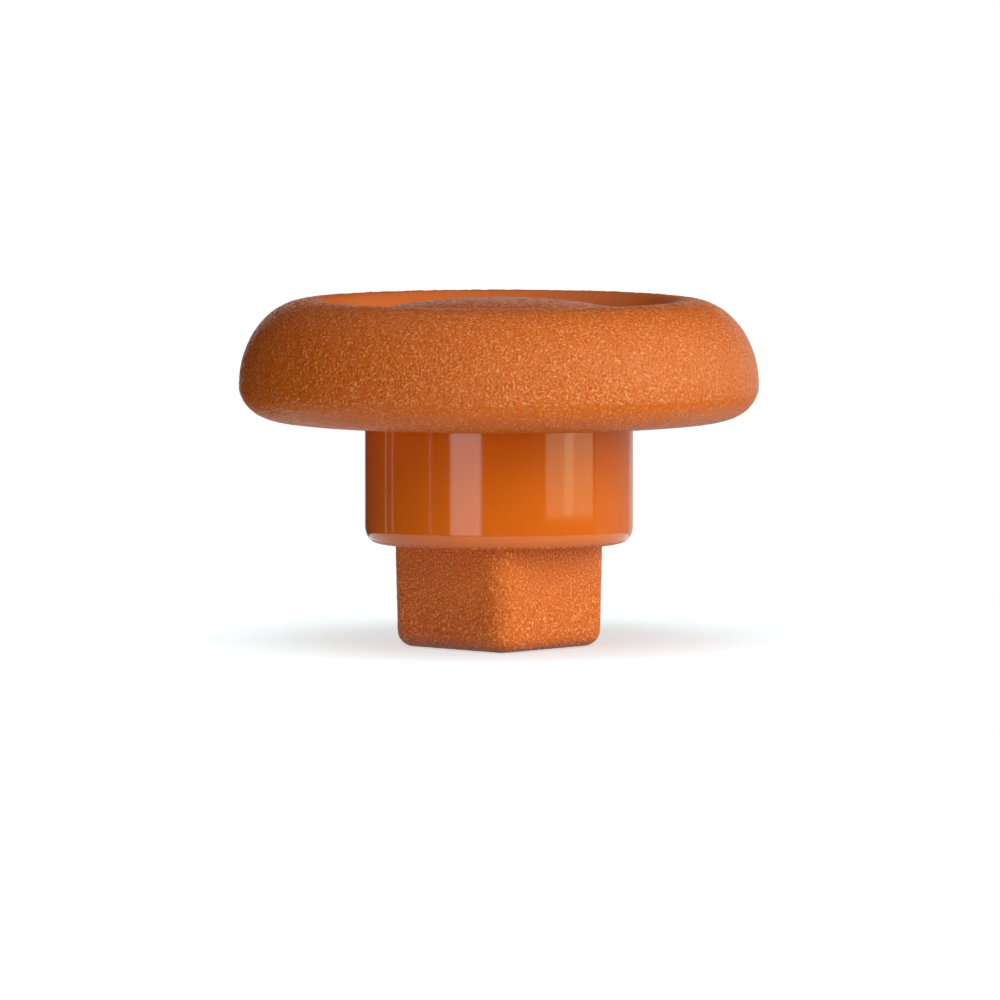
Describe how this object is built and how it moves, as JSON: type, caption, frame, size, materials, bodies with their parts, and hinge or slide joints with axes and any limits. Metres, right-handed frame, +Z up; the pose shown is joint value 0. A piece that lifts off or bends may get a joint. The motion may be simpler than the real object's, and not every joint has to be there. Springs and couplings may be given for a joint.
{
  "type": "controller thumbstick",
  "caption": "Thumbstick for a game controller: wide grained cap with a dished, domed top, on a glossy round collar and a tapered square stem.",
  "frame": {"origin": "centre of the stem's flat end face", "axes": "+Z up the axis from the stem's end through the cap, X and Y square to the stem's flats"},
  "size_m": [0.019, 0.019, 0.0128],
  "materials": {
    "plastic": "orange, fine moulded grain on the cap and stem, glossy on the collar"
  },
  "bodies": {
    "root": {"thumbstick": "plastic"}
  },
  "joints": []
}
